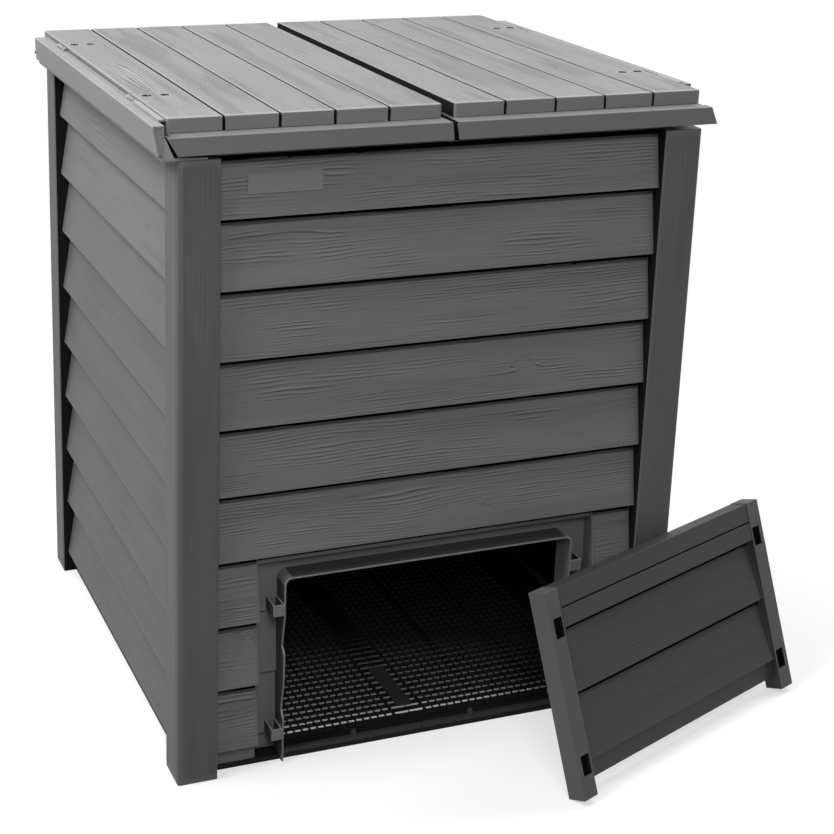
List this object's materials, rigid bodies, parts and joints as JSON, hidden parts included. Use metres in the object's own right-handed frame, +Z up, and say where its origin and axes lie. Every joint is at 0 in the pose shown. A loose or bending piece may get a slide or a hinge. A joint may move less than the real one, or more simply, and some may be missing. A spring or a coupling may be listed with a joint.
{
  "type": "compost bin with lid",
  "caption": "Square garden compost bin of lapped plastic boards on corner posts, with two hinged lids and a lift-off hatch at its foot.",
  "frame": {"origin": "centre of the base, on the ground, midway between the four corner posts", "axes": "+Z up, -Y out of the front with the hatch opening, +X to the right as seen from the front"},
  "size_m": [1.047, 1.035, 0.9745],
  "materials": {
    "siding": "embossed wood grain, satin",
    "post": "embossed wood grain, satin",
    "lid": "embossed wood grain, satin",
    "hatch": "embossed wood grain, satin",
    "grating": "smooth, matte",
    "steel": "zinc plated"
  },
  "bodies": {
    "bin": {"post_front_left": "post", "post_front_right": "post", "post_back_right": "post", "post_back_left": "post", "front_panel_top": "siding", "front_panel_middle": "siding", "right_panel_top": "siding", "right_panel_middle": "siding", "right_panel_bottom": "siding", "back_panel_top": "siding", "back_panel_middle": "siding", "back_panel_bottom": "siding", "left_panel_top": "siding", "left_panel_middle": "siding", "left_panel_bottom": "siding", "hatch_panel": "siding", "hinge_rail_left": "lid", "floor_panel_left": "grating", "hinge_pin_left_front": "steel", "hinge_pin_left_back": "steel", "hinge_rail_right": "lid", "floor_panel_right": "grating", "hinge_pin_right_front": "steel", "hinge_pin_right_back": "steel", "floor_clip_front": "grating", "floor_clip_back": "grating"},
    "lid_left": {"lid_left": "lid", "hinge_strap_left_front": "steel", "screw_left_front_1": "steel", "screw_left_front_2": "steel", "hinge_strap_left_back": "steel", "screw_left_back_1": "steel", "screw_left_back_2": "steel"},
    "lid_right": {"lid_right": "lid", "hinge_strap_right_front": "steel", "screw_right_front_1": "steel", "screw_right_front_2": "steel", "hinge_strap_right_back": "steel", "screw_right_back_1": "steel", "screw_right_back_2": "steel"},
    "hatch": {"hatch": "hatch"}
  },
  "joints": [
    {"name": "lid_left_hinge", "type": "hinge", "parent": "bin", "child": "lid_left", "pos_m": [-0.406, 0, 0.9702], "axis": [0, -1, 0], "range_deg": [0, 100]},
    {"name": "lid_right_hinge", "type": "hinge", "parent": "bin", "child": "lid_right", "pos_m": [0.406, 0, 0.9702], "axis": [0, 1, 0], "range_deg": [0, 100]},
    {"name": "hatch_lift", "type": "slide", "parent": "bin", "child": "hatch", "axis": [0, 0, 1], "range_m": [0, 0.3]}
  ]
}
